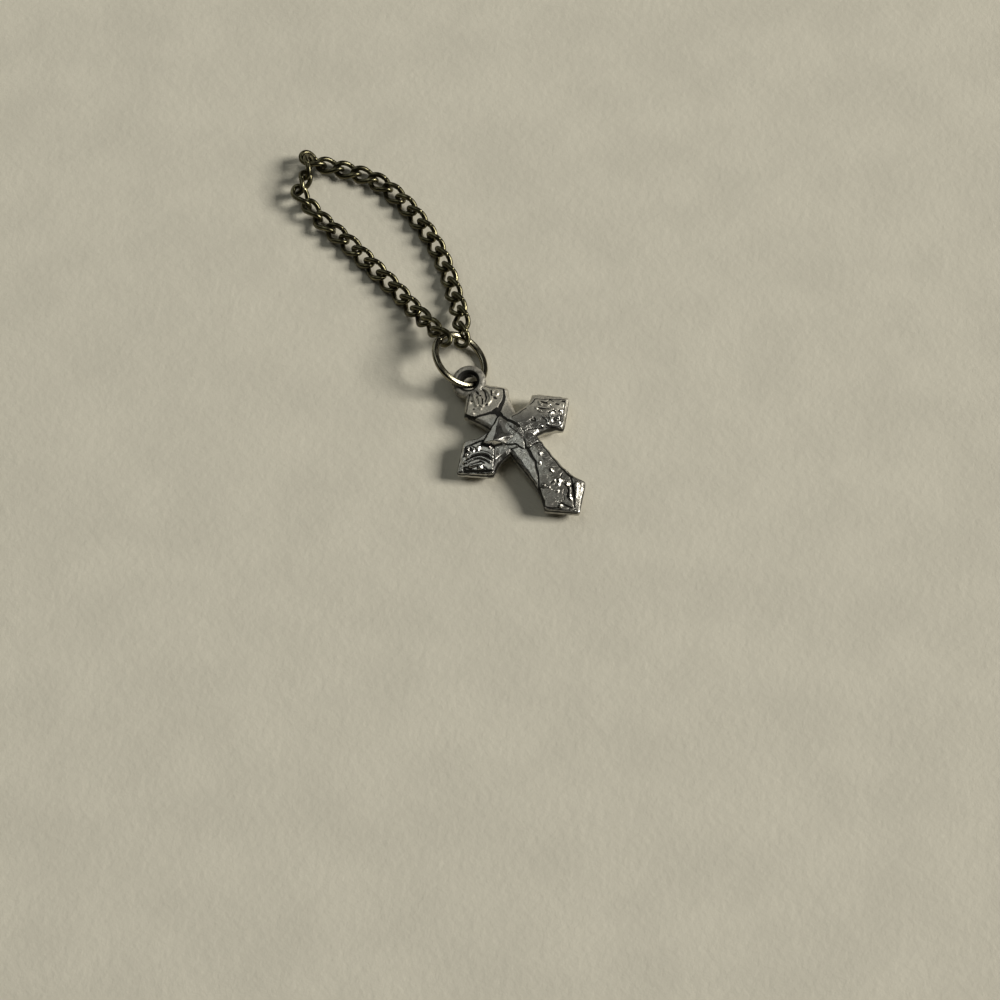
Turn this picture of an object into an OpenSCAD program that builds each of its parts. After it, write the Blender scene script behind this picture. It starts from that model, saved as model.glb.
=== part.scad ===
// Cross charm with a cast eyelet, an open jump ring leaning through it, and a short
// closed loop of twisted curb chain, all lying on a flat surface.
// Frame, in mm: Z = 0 is the surface, the cross lies on its flat back with the middle
// of its crossing over the origin, +Y runs up the stem to the eyelet and the chain,
// +X is to the right of the cross, +Z is up out of its front.

/* [Cross] */
// Length of the top arm's front, from the crossing to its point
top_len = 7.5; // [7.4:0.1:7.8]
// Length of each side arm's front, from the crossing to its point
side_len = 7.0; // [6.5:0.1:7.6]
// Length of the bottom arm's front, from the crossing to its point
foot_len = 10.9; // [10.2:0.1:12]
// Half width of a side arm at its flare
flare = 2.8; // [2.6:0.05:3.1]
// Half width of the solid where the arms meet
waist = 1.75; // [1.6:0.05:1.9]
// Width of the bevel round the points
bevel = 0.4; // [0.3:0.05:0.5]
// Height of the front at the points
end_z = 1.9; // [1.8:0.05:2.1]
// Height of the front at the crossing
mid_z = 3.05; // [2.9:0.05:3.3]
// Height of the outline where the arms meet
neck_z = 2.35; // [2.2:0.05:2.45]
// Height of the peak of the raised kite on the crossing
kite_z = 3.45; // [3.3:0.05:3.7]
// Radius of the raised scroll lines
scroll_r = 0.17; // [0.12:0.01:0.2]

/* [Eyelet] */
// Distance of the eyelet from the crossing
eye_y = 8.0; // [7.9:0.05:8.1]
// Height of the middle of the eyelet
eye_z = 1.8; // [1.75:0.05:1.85]
// Radius of the eyelet's round bar
eye_bar = 0.45; // [0.4:0.01:0.46]
// Radius of the eyelet, to the middle of its bar
eye_r = 1.4; // [1.38:0.01:1.45]
// Lean of the eyelet to the left
eye_lean = 12; // [10:1:14]
// How much deeper the eyelet's wall is on its left and far side
eye_deep = 0.9; // [0.3:0.1:0.9]

/* [Jump ring] */
// Radius of the jump ring, to the middle of its wire
ring_r = 3.14; // [3.12:0.01:3.16]
// Thickness of the jump ring's wire
ring_wire = 0.75; // [0.6:0.05:0.75]
// Angle at which the jump ring leans from lying flat
ring_lean = 33.6; // [33:0.1:34]

/* [Chain] */
// Thickness of the link wire
link_wire = 0.46; // [0.36:0.02:0.46]
// Half length of a link, to the middle of its wire
link_half_l = 1.45; // [1.4:0.01:1.46]
// Half width of a link, to the middle of its wire
link_half_w = 0.87; // [0.84:0.01:0.88]
// Twist of each end of a link out of its own plane, below zero for a left-hand twist
link_twist = -54; // [-58:1:-50]

/* [Hidden] */
silver = [0.62, 0.60, 0.57];
steel = [0.36, 0.36, 0.37];
links = 31;                 // as many as the run of the chain takes
link_segs = 14;
wire_sides = 6;

function link_name(i) = str("link_", i < 10 ? "0" : "", i);

// Cross: sizes that follow from the ones above

girth_z = 1.6;              // height at which the side wall turns into the bevel at a flare
back_z = 1.15;              // height at which the wall turns into the slope round the back
back_in = 0.9;              // width of that slope
back_end = back_z - 0.1;    // height that the back has risen to at a point
foot_girth_z = 1.75;        // girth_z of the bottom arm, whose bevel is shallower
tip_rise = 0.03;            // height of the front edge of a point's cut end above that turn
crown = 0.12;               // how far a front is raised along its middle
tip_half = 0.12;            // half width left at each point
rim = 0.12;                 // least width of the bevel beside a front
bevel_break = 0.75;         // share of a bevel's width at which it turns steeper
bevel_fall = 0.4;           // share of its height that it has fallen by there

// Edges of each front, as shares: along the arm, left edge and right edge of the half width.
top_front = [[0, 0.03, -0.03], [0.39, 0.04, -0.04], [0.45, 0.2, -0.3], [0.49, 0.5, -0.45],
             [0.53, 0.75, -0.58], [0.59, 0.87, -0.7], [0.65, 0.91, -0.77], [1, 0, 0]];
right_front = [[0, 0.2, -0.11], [0.1, 0.51, -0.2], [0.27, 0.49, -0.35], [0.47, 0.55, -0.64],
               [0.62, 0.66, -0.79], [0.67, 0.58, -0.83], [1, 0.01, -0.01]];
left_front = [[0, 0.11, -0.33], [0.4, 0.13, -0.4], [0.49, 0.46, -0.46], [0.62, 0.83, -0.58],
              [0.67, 0.75, -0.62], [0.72, 0.66, -0.65], [1, 0.06, 0.02]];
foot_front = [[0, 0.13, -0.02], [0.22, 0.15, -0.04], [0.25, 0.53, -0.04], [0.39, 0.52, -0.11],
              [0.51, 0.52, -0.35], [0.64, 0.56, -0.66], [0.74, 0.66, -0.86], [0.8, 0.8, -0.94],
              [0.83, 0.78, -0.85], [0.93, 0.28, -0.36], [1, 0, -0.02]];

// One arm along +X: name columns are length, share of it at which the flare is, half width
// there, how late the arm widens (1 is a straight taper), the edges of its front, and the
// height at which its wall turns into the bevel from the flare on.
top_arm   = [top_len, 0.66, flare + 0.2, 1.6, top_front, girth_z];
right_arm = [side_len, 0.67, flare, 2.4, right_front, girth_z];
left_arm  = [side_len, 0.66, flare - 0.1, 2.6, left_front, girth_z];
foot_arm  = [foot_len, 0.83, flare, 4.5, foot_front, foot_girth_z];

function slope(arm) = (mid_z - end_z) / arm[0];
function front_z(arm, s) = mid_z - slope(arm) * s;
function flare_at(arm) = arm[0] * arm[1];
function tip_at(arm) = arm[0] + bevel * 1.35;

// Half width of the solid at s along the arm, and height of its outline.
function girth_w(arm, s) =
    let (e = flare_at(arm), tip = tip_at(arm))
    s <= waist ? waist :
    s <= e ? waist + (arm[2] - waist) * pow((s - waist) / (e - waist), arm[3]) :
    max(tip_half, arm[2] * (tip - s) / (tip - e));
function outline_z(arm, s) =
    let (far = (s - waist) / (flare_at(arm) - waist))
    neck_z + (arm[5] - neck_z) * min(1, max(0, far));

// Left (side = 1) or right (side = 2) edge of the front at s, inside the outline.
function front_edge(arm, s, side) =
    let (v = arm[2] * lookup(s / arm[0], [for (r = arm[4]) [r[0], r[side]]]),
         most = max(tip_half / 4, girth_w(arm, s) - rim))
    max(-most, min(most, v));
function front_mid(arm, s) = (front_edge(arm, s, 1) + front_edge(arm, s, 2)) / 2;
function front_half(arm, s) = max(0.02, (front_edge(arm, s, 1) - front_edge(arm, s, 2)) / 2);

// Half width of the flat back at s, and how far the back has risen there.
function back_tip(arm) = tip_at(arm) - back_in * 1.4;
function back_w(arm, s) = max(tip_half / 2, min(girth_w(arm, s) - back_in, back_tip(arm) - s));
function back_rise(arm, s) =
    s <= back_tip(arm) ? 0 : back_end * (s - back_tip(arm)) / (tip_at(arm) - back_tip(arm));

// Cross-section of an arm: back, slope, wall, two-part bevel, front with its crown.
function arm_ring(arm, s, z) =
    let (b = back_w(arm, s), r = back_rise(arm, s), g = girth_w(arm, s), o = outline_z(arm, s),
         m = front_mid(arm, s), h = front_half(arm, s), k = bevel_break,
         turn_z = z - bevel_fall * (z - o))
    [[s, -b, r], [s, -g, back_z], [s, -g, o], [s, (1 - k) * (m - h) - k * g, turn_z],
     [s, m - h, z], [s, m, z + min(crown, h / 6)], [s, m + h, z],
     [s, (1 - k) * (m + h) + k * g, turn_z], [s, g, o], [s, g, back_z], [s, b, r]];

function arm_stations(arm) =
    let (e = flare_at(arm), q = back_tip(arm), n = 10)
    concat([0, waist / 2], [for (k = [0:n]) waist + (e - waist) * k / n],
        [arm[0] * (arm[1] + 0.06), (e + q) / 2 + arm[0] * 0.02, q, arm[0]]);

module arm_solid(arm, turn) {
    sections = concat(
        [for (s = arm_stations(arm)) arm_ring(arm, s, front_z(arm, s))],
        [arm_ring(arm, tip_at(arm), arm[5] + tip_rise)]);
    rotate([0, 0, turn]) skin(sections, false);
}

// Solid through a list of equal point rings; closed joins the last ring to the first.
module skin(rings, closed) {
    m = len(rings);
    n = len(rings[0]);
    pts = [for (r = rings) for (p = r) p];
    body = [for (i = [0:m - (closed ? 1 : 2)]) for (j = [0:n - 1])
        let (a = i * n + j, b = i * n + (j + 1) % n,
             c = ((i + 1) % m) * n + (j + 1) % n, d = ((i + 1) % m) * n + j)
        each [[a, b, c], [a, c, d]]];
    caps = closed ? [] : [[for (j = [n - 1:-1:0]) j], [for (j = [0:n - 1]) (m - 1) * n + j]];
    polyhedron(pts, concat(body, caps));
}

// Puts children on the sloping front of an arm, s out and v across, to the left of s.
module on_arm(arm, turn, s, v) {
    z = front_z(arm, s) + crown * max(0, 1 - abs(v - front_mid(arm, s)) / front_half(arm, s));
    rotate([0, 0, turn]) translate([s, v, z]) rotate([0, atan(slope(arm)), 0]) children();
}

module scroll(r, from, sweep, thick) {
    rotate([0, 0, from]) rotate_extrude(angle = sweep, $fn = 28) translate([r, 0])
        circle(thick, $fn = 6);
    for (a = [from, from + sweep]) rotate([0, 0, a]) translate([r, 0, 0]) bead(thick * 1.25);
}

module bead(r) {
    hull() {
        translate([0, 0, -r]) cylinder(h = r * 1.5, r = r, $fn = 8);
        cylinder(h = r, r = r * 0.5, $fn = 8);
    }
}

// Straight ridge between two points of the front, thinner or thicker towards the second,
// with ends round like a worn cone.
module ridge(from, to, thick, end_thick) {
    hull() {
        for (p = [[from, thick], [to, end_thick]])
            translate([p[0][0], p[0][1], -p[1]])
                cylinder(h = 2 * p[1], r1 = p[1], r2 = p[1] / 2, $fn = 6);
    }
}

// Relief tables. Scrolls: s, v, radius, first angle, sweep. Beads: s, v, radius.
top_scrolls = [[5.64, 0.44, 1.32, 189, 119], [6.06, 2.53, 2.54, 235, 50],
               [7.58, 5.73, 5.22, 240, 17], [6.06, 2.16, 1.81, 226, 30], [5.05, -1.27, 0.34, 0, 340]];
top_beads = [[5.69, 1.55, 0.24], [4.55, 0.72, 0.2], [4.36, 1.1, 0.18], [4.51, 0.15, 0.16],
             [4.4, 2.05, 0.16], [5.08, -0.28, 0.16]];
left_scrolls = [[5.31, 1.12, 1.69, 184, 97], [5.94, 1.64, 1.92, 191, 83], [6.13, 2.13, 1.7, 224, 37],
                [4.9, -1.1, 0.32, 60, 260]];
left_beads = [[4.16, -0.63, 0.3], [5.48, -0.94, 0.24], [6.21, -0.31, 0.2], [5.93, 0.38, 0.24],
              [5.26, 1.17, 0.26], [3.1, -0.02, 0.2]];
right_scrolls = [[5.4, 1.6, 1.24, 215, 45], [5.27, 1.73, 2.01, 224, 38], [3.24, -0.88, 0.6, 296, 106],
                 [4.85, -1.0, 0.5, 60, 250]];
right_beads = [[4.5, 1.17, 0.22], [3.73, 0.79, 0.22], [6.35, -0.45, 0.18], [5.82, -0.94, 0.22],
               [4.74, -0.58, 0.2], [4.18, -1.31, 0.24], [4.65, -2.0, 0.2], [2.9, -1.4, 0.2]];
foot_beads = [[3.8, 0.75, 0.24], [4.6, 0.01, 0.2], [6.01, 0.5, 0.24], [7.12, 0.07, 0.18],
              [7.44, 0.5, 0.26], [7.72, 0.18, 0.18], [8.24, 0.92, 0.26], [6.95, -1.2, 0.26],
              [8.3, -0.45, 0.18], [9.69, -1.16, 0.24]];
// Straight ridges over the foot: s and v of one end, then of the other, and the radius at
// both, and the place along the arm whose slope they all lie on.
foot_ridges = [[[8.86, 0.83], [9.66, 0.22], 0.28, 0.28], [[6.95, -1.5], [7.35, -0.85], 0.14, 0.14],
               [[8.93, 1.75], [10.0, 0.78], 0.38, 0.12]];
ridge_at = [8.2, 0];

module relief(arm, turn, scrolls, beads) {
    for (c = scrolls) on_arm(arm, turn, c[0], c[1]) scroll(c[2], c[3], c[4], scroll_r);
    for (b = beads) on_arm(arm, turn, b[0], b[1]) bead(b[2]);
}

// Raised kite over the crossing, lying more to the left, in two convex halves. Each half has
// the x, y of the corners of its rim, and the x, y and share of the height of its top.
kite_upper = [[0, 2.45], [-3.55, 0.85], [-2.7, -0.2], [-1.6, -0.7], [0.75, -0.75]];
kite_upper_top = [[-2.65, 0.17, 1], [-1.15, 0.42, 0.65], [-0.8, 0.2, 0.35], [-1.4, -0.29, 0.2],
                  [-2.3, -0.08, 0.68], [-3.48, 0.82, 0.38], [-0.1, 2.35, 0.3]];
kite_lower = [[-1.6, -0.7], [0, -2.3], [0.75, -0.75]];
kite_lower_top = [[-0.8, 0.2, 0.35], [-1.4, -0.29, 0.2]];
kite_base = 1.5;            // level inside the arms from which the kite rises
kite_rim = 2.7;             // level of its rim

module kite_half(rim, top) {
    hull() {
        for (c = rim) translate([c[0], c[1], kite_base])
            cylinder(h = kite_rim - kite_base, r = 0.08, $fn = 6);
        for (c = top) translate([c[0], c[1], kite_base])
            cylinder(h = kite_rim - kite_base + c[2] * (kite_z - kite_rim), r = 0.08, $fn = 6);
    }
}

module kite() {
    kite_half(kite_upper, kite_upper_top);
    kite_half(kite_lower, kite_lower_top);
}

// Eyelet at the end of the top arm

deep_from = 40;             // sector of the eyelet whose wall is deeper, from +X
deep_sweep = 235;
deep_start = 0.2;           // how far below the middle of the bar the deeper wall starts inside it
deep_inset = 0.02;          // by how much that wall is thinner than the bar all round
hole_h = 8;                 // height of the cut that keeps the arm out of the eyelet, to pass through

module eyelet_place() {
    translate([0, eye_y, eye_z]) rotate([0, -eye_lean, 0]) children();
}

module cross() {
    color(silver) {
        difference() {
            union() {
                arm_solid(top_arm, 90);
                arm_solid(right_arm, 0);
                arm_solid(left_arm, 180);
                arm_solid(foot_arm, 270);
                kite();
                relief(top_arm, 90, top_scrolls, top_beads);
                relief(left_arm, 180, left_scrolls, left_beads);
                relief(right_arm, 0, right_scrolls, right_beads);
                relief(foot_arm, 270, [], foot_beads);
                for (r = foot_ridges) on_arm(foot_arm, 270, ridge_at[0], ridge_at[1])
                    ridge(r[0] - ridge_at, r[1] - ridge_at, r[2], r[3]);
            }
            eyelet_place() cylinder(h = hole_h, r = eye_r, center = true, $fn = 36);
        }
        eyelet_place() {
            rotate_extrude($fn = 36) translate([eye_r, 0]) circle(eye_bar, $fn = 12);
            rotate([0, 0, deep_from]) rotate_extrude(angle = deep_sweep, $fn = 36)
                translate([eye_r, 0]) hull()
                    for (down = [deep_start, eye_deep]) translate([0, -down])
                        circle(eye_bar - deep_inset, $fn = 12);
        }
    }
}

// Jump ring: where it leans

ring_mid = [0.79, 10.66, 0.375 + ring_r * sin(ring_lean)];
ring_turn = -25.7;          // direction, from +X, of the ring's low side
seam_at = 138;              // place of the open seam round the ring
seam = 1.8;                 // opening of the seam, in degrees

module jump_ring() {
    color(steel) translate(ring_mid) rotate([0, ring_lean, ring_turn])
        rotate([0, 0, seam_at]) rotate_extrude(angle = 360 - seam, $fn = 64)
            translate([ring_r, 0]) circle(d = ring_wire, $fn = 32);
}

// Chain: its run and its links

// Run of the chain from one side of the jump ring round to the other: x, y, z, roll.
run_points = [
    [0.7, 13.9, 2.9, -75], [0.7, 16.9, 2.0, -65], [0.7, 19.3, 1.3, -55], [0.7, 21.8, 1.1, -50],
    [0.4, 25.9, 1.0, -40], [0.0, 30.0, 1.0, -30], [-0.6, 34.3, 0.9, 10], [-0.7, 36.6, 1.0, 35],
    [-0.7, 38.2, 1.2, 40], [-0.7, 39.3, 1.5, 40], [0.4, 40.0, 1.4, 80],
    [2.9, 42.3, 1.5, 115], [3.2, 41.5, 1.1, 155], [5.3, 38.9, 0.9, 175],
    [7.3, 35.7, 0.8, 175], [8.0, 31.9, 0.9, 210], [8.0, 28.2, 1.0, 220],
    [7.5, 24.2, 1.0, 220], [6.5, 20.7, 1.0, 225], [5.1, 17.3, 1.2, 220],
    [4.2, 15.2, 1.6, 220], [2.9, 13.2, 1.7, 235]];
steps = 8;                  // points put between two rows of the table
reach = 0.9;                // distance each way over which a link finds its direction

// Smooth curve through b and c, with a and d beyond them.
function blend(a, b, c, d, t) =
    0.5 * (2 * b + (c - a) * t + (2 * a - 5 * b + 4 * c - d) * t * t
        + (3 * b - a - 3 * c + d) * t * t * t);

last = len(run_points) - 1;
padded = concat([2 * run_points[0] - run_points[1]], run_points,
    [2 * run_points[last] - run_points[last - 1]]);
curve = concat([for (i = [0:last - 1]) for (j = [0:steps - 1])
    blend(padded[i], padded[i + 1], padded[i + 2], padded[i + 3], j / steps)], [run_points[last]]);

function place_of(p) = [p[0], p[1], p[2]];
function gap_after(i) = i + 1 < len(curve) ? norm(place_of(curve[i + 1]) - place_of(curve[i])) : 0;
along = [for (i = 0, l = 0; i < len(curve); l = l + gap_after(i), i = i + 1) l];
run_len = along[len(along) - 1];
tables = [for (k = [0:3]) [for (i = [0:len(curve) - 1]) [along[i], curve[i][k]]]];

function at(l) = [for (k = [0:3]) lookup(min(run_len, max(0, l)), tables[k])];
function unit(v) = v / norm(v);

// Middle line of a link at angle t: an oval, twisted about its length.
function link_line(t) =
    let (f = link_twist * cos(t))
    [link_half_l * cos(t), link_half_w * sin(t) * cos(f), link_half_w * sin(t) * sin(f)];

function wire_ring(t) =
    let (f = link_twist * cos(t), fine = 2,
         fore = unit(link_line(t + fine) - link_line(t - fine)),
         side = unit(cross(fore, [link_half_w * cos(t), link_half_l * sin(t) * cos(f),
             link_half_l * sin(t) * sin(f)])),
         out = cross(side, fore))
    [for (j = [0:wire_sides - 1]) let (w = (j + 0.5) * 360 / wire_sides)
        link_line(t) + link_wire / 2 * (cos(w) * out + sin(w) * side)];

module chain_link(i) {
    l = (i - 1) * run_len / (links - 1);
    p = at(l);
    d = unit(place_of(at(l + reach)) - place_of(at(l - reach)));
    color(steel) translate(place_of(p)) rotate([p[3], -asin(d[2]), atan2(d[1], d[0])])
        skin([for (k = [0:link_segs - 1]) wire_ring(-k * 360 / link_segs)], true);
}

cross();
jump_ring();
for (i = [1:links]) chain_link(i);
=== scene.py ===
import math

import bmesh
import bpy
import numpy as np
from bpy.props import FloatProperty, FloatVectorProperty, IntProperty, PointerProperty
from mathutils import Matrix, Vector, noise


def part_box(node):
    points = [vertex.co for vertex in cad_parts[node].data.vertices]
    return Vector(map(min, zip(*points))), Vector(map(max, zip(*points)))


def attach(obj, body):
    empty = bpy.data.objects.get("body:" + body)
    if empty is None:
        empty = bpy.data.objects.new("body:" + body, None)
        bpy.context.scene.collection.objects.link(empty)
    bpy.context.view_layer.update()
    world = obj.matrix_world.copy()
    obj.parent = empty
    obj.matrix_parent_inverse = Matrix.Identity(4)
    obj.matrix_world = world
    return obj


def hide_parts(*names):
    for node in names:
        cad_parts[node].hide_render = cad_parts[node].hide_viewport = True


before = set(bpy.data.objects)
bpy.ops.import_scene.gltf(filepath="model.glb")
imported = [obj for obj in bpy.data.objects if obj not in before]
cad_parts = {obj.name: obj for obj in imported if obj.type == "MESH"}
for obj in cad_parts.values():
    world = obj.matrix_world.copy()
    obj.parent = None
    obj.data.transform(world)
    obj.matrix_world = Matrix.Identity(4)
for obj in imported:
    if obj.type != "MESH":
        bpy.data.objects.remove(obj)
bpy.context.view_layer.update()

bl_info = {
    "name": "Cross charm on a chain loop",
    "version": (1, 0, 0),
    "blender": (4, 5, 0),
    "location": "View3D > Sidebar > Charm",
    "description": "Cast cross charm with its jump ring and loop of curb chain, on a pale floor",
    "category": "Object",
}

MM = 0.001
BODY = "root"
LINK_NODES = sorted(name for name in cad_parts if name.startswith("link_"))

# Tables of the cross, in mm, as the cast is made: s runs out along an arm, v to its left.

# Edges of each front, as shares: along the arm, left edge and right edge of the half width.
TOP_FRONT = ((0, .03, -.03), (.39, .04, -.04), (.45, .2, -.3), (.49, .5, -.45),
             (.53, .75, -.58), (.59, .87, -.7), (.65, .91, -.77), (1, 0, 0))
RIGHT_FRONT = ((0, .2, -.11), (.1, .51, -.2), (.27, .49, -.35), (.47, .55, -.64),
               (.62, .66, -.79), (.67, .58, -.83), (1, .01, -.01))
LEFT_FRONT = ((0, .11, -.33), (.4, .13, -.4), (.49, .46, -.46), (.62, .83, -.58),
              (.67, .75, -.62), (.72, .66, -.65), (1, .06, .02))
FOOT_FRONT = ((0, .13, -.02), (.22, .15, -.04), (.25, .53, -.04), (.39, .52, -.11),
              (.51, .52, -.35), (.64, .56, -.66), (.74, .66, -.86), (.8, .8, -.94),
              (.83, .78, -.85), (.93, .28, -.36), (1, 0, -.02))

# Scrolls: s, v, radius, first angle, sweep. Beads: s, v, radius. Ridges: s, v and radius of
# both ends.
TOP_SCROLLS = ((5.64, .44, 1.32, 189, 119), (6.06, 2.53, 2.54, 235, 50),
               (7.58, 5.73, 5.22, 240, 17), (6.06, 2.16, 1.81, 226, 30), (5.05, -1.27, .34, 0, 340))
TOP_BEADS = ((5.69, 1.55, .24), (4.55, .72, .2), (4.36, 1.1, .18), (4.51, .15, .16),
             (4.4, 2.05, .16), (5.08, -.28, .16))
LEFT_SCROLLS = ((5.31, 1.12, 1.69, 184, 97), (5.94, 1.64, 1.92, 191, 83),
                (6.13, 2.13, 1.7, 224, 37), (4.9, -1.1, .32, 60, 260))
LEFT_BEADS = ((4.16, -.63, .3), (5.48, -.94, .24), (6.21, -.31, .2), (5.93, .38, .24),
              (5.26, 1.17, .26), (3.1, -.02, .2))
RIGHT_SCROLLS = ((5.4, 1.6, 1.24, 215, 45), (5.27, 1.73, 2.01, 224, 38),
                 (3.24, -.88, .6, 296, 106), (4.85, -1.0, .5, 60, 250))
RIGHT_BEADS = ((4.5, 1.17, .22), (3.73, .79, .22), (6.35, -.45, .18), (5.82, -.94, .22),
               (4.74, -.58, .2), (4.18, -1.31, .24), (4.65, -2.0, .2), (2.9, -1.4, .2))
FOOT_BEADS = ((3.8, .75, .24), (4.6, .01, .2), (6.01, .5, .24), (7.12, .07, .18),
              (7.44, .5, .26), (7.72, .18, .18), (8.24, .92, .26), (6.95, -1.2, .26),
              (8.3, -.45, .18), (9.69, -1.16, .24))
FOOT_RIDGES = ((8.86, .83, .28, 9.66, .22, .28), (6.95, -1.5, .14, 7.35, -.85, .14),
               (8.93, 1.75, .38, 10.0, .78, .12))

# Kite on the crossing, in two halves: the x, y of the corners of the rim of each, and the x, y
# and share of the height of its top.
KITE_UPPER = ((0, 2.45), (-3.55, .85), (-2.7, -.2), (-1.6, -.7), (.75, -.75))
KITE_UPPER_TOP = ((-2.65, .17, 1), (-1.15, .42, .65), (-.8, .2, .35), (-1.4, -.29, .2),
                  (-2.3, -.08, .68), (-3.48, .82, .38), (-.1, 2.35, .3))
KITE_LOWER = ((-1.6, -.7), (0, -2.3), (.75, -.75))
KITE_LOWER_TOP = ((-.8, .2, .35), (-1.4, -.29, .2))

# Engraved lines along the edges of the fronts: side (1 left, 2 right), share along the arm of
# the start and the end, half width at both, depth of colour.
TOP_LINES = ((1, .34, .44, .2, .1, 1), (1, .44, .66, .09, .05, 1), (1, .66, .9, .03, .02, .5),
             (2, .34, .46, .24, .19, 1), (2, .46, .56, .18, .1, 1), (2, .56, .7, .09, .03, .95),
             (2, .7, .9, .03, .02, .4))
LEFT_LINES = ((2, .4, .65, .06, .07, 1), (2, .65, .84, .06, .03, .9),
              (1, .4, .66, .045, .055, .95), (1, .66, .97, .08, .11, 1))
RIGHT_LINES = ((1, .1, .4, .03, .03, .55), (1, .5, .66, .03, .03, .6), (1, .66, 1, .03, .03, .6),
               (2, .2, .45, .03, .04, .7), (2, .45, .66, .03, .03, .6), (2, .66, 1, .02, .02, .5))
FOOT_LINES = ((2, .22, .5, .13, .07, 1), (2, .5, .79, .06, .05, 1), (2, .79, .9, .05, .02, .9),
              (1, .24, .6, .03, .04, .75), (1, .6, .72, .05, .09, .95))
# Cuts elsewhere on the fronts: half width, depth of colour, s, v of the points that each joins. The
# first row of each side arm is a wide, faint wash of painted shade along the lower bevel, which also
# sinks it a little.
TOP_CUTS = ((.07, .5, 6.26, -.49, 5.79, -.54, 5.18, -.26, 4.73, .21), (.04, .8, 5.15, .3, 4.73, .61),
            (.05, .7, 5.74, .51), (.05, .7, 5.69, .14), (.07, 1, 5.77, 1.25),
            (.04, .4, 6.5, .25, 6.03, .15), (.05, .5, 5.55, -1.2, 4.93, -.77),
            (.08, .7, 4.6, -.86, 4.37, -1.02), (.05, .6, 4.24, .22, 4.35, .4),
            (.05, .4, 4.86, 1.76, 4.79, 1.68), (.16, 1, 3.25, .25, 3.3, -.2))
# First row: painted shade along the lower bevel.
LEFT_CUTS = ((.3, .34, 2.3, 1.5, 3.4, 1.7, 4.1, 2.0),
             (.08, .85, 6.04, -.45, 5.5, -.37, 5.0, -.16, 4.46, .01, 4.17, .33, 3.98, .78, 3.84, 1.13),
             (.06, .9, 5.47, .39, 5.12, .55, 4.81, .66, 4.67, 1.0), (.07, .8, 5.1, -1.44, 5.39, -1.23),
             (.06, .7, 4.79, -1.32), (.06, .8, 4.72, -.88), (.04, .6, 4.94, 1.36, 4.83, 1.75),
             (.05, .8, 6.7, -.02, 6.43, .17, 6.13, .65), (.14, 1, 6.75, .25), (.1, 1, 3.9, -1.45))
# First row: painted shade along the lower bevel.
RIGHT_CUTS = ((.3, .3, 2.3, -1.5, 3.4, -1.75, 4.3, -2.3),
              (.06, 1, 3.92, .82, 4.11, .54, 4.43, .25, 4.8, .02), (.09, 1, 4.66, 1.17, 4.99, .81),
              (.04, .7, 5.24, .87, 5.6, .9, 5.79, .52), (.08, .9, 5.81, .1, 5.92, -.1),
              (.08, .9, 6.6, 0, 6.75, -.12), (.06, .6, 5.17, .16), (.07, 1, 4.96, -.46, 5.07, -.68),
              (.05, .8, 4.49, -.46), (.08, .9, 5.57, -.78),
              (.05, 1, 5.44, -1.3, 5.1, -1.61, 4.84, -1.97), (.06, 1, 4.43, -1.33, 4.32, -1.48),
              (.06, .8, 4.7, -1.42, 4.81, -1.54), (.1, 1, 3.36, -1.7, 3.67, -1.86),
              (.09, .9, 2.33, -.11, 2.6, -.37), (.08, .8, 2.74, -.01, 2.72, -.22))
FOOT_CUTS = ((.09, 1, 7.75, 1.7, 8.3, 1.45, 8.85, 1.2, 9.5, .7, 10.1, .35, 10.7, 0),
             (.05, .8, 8.74, .62, 9.45, .07), (.05, .7, 7.9, .84, 8.1, 1.2),
             (.05, .6, 7.15, .85, 7.01, 1.13), (.04, .6, 6.93, -1.61, 7.1, -1.47),
             (.04, .5, 8.5, .2, 9.44, -.42),
             (.05, .9, 9.41, -.95, 10.1, -.6, 10.6, -.3), (.05, .6, 7.14, -.44, 7.17, -.2))
# The same round the kite: half width, depth of colour, x, y of the points that each joins.
KITE_CUTS = ((.09, 1, 0, 2.45, -3.55, .85, -3.7, .75), (.07, 1, -3.6, .8, -2.75, -.25),
             (.03, .45, -2.7, -.2, -1.9, -.45),
             (.035, .8, -1.79, -.52, -1.52, -.87, -.81, -1.33, -.4, -2.3),
             (.13, 1, 0, 2.4, .75, 0), (.2, 1, .05, 2.3, -.1, 2.6),
             (.04, .9, .8, -.4, .95, -.6, .29, -1.47), (.08, 1, .29, -1.47, -.08, -2.31, -.15, -2.6),
             (.03, .6, -.05, .6, .1, -.3, .3, -.9), (.2, .27, -.5, 1.5, -.75, .35),
             (.04, .5, -1.5, -1.55, -.7, -1.75), (.05, .8, -.1, -2.6, 1.4, -2.5))


# Settings that a user would change

def length_prop(name, description, default):
    """A length, with its default in mm."""
    return FloatProperty(name=name, description=description, default=default * MM, unit="LENGTH")


def angle_prop(name, description, default):
    """An angle, with its default in degrees."""
    return FloatProperty(name=name, description=description, default=math.radians(default),
                         subtype="ANGLE")


def colour_prop(name, description, default):
    return FloatVectorProperty(name=name, description=description, default=default, size=3,
                               subtype="COLOR", min=0, max=1)


def place_prop(name, description, x, y):
    """A place on the floor, with its default in mm."""
    return FloatVectorProperty(name=name, description=description, default=(x * MM, y * MM),
                               size=2, unit="LENGTH")


def power_prop(name, description, default):
    return FloatProperty(name=name, description=description, default=default, unit="POWER")


def count_prop(name, description, default, least):
    return IntProperty(name=name, description=description, default=default, min=least)


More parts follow.
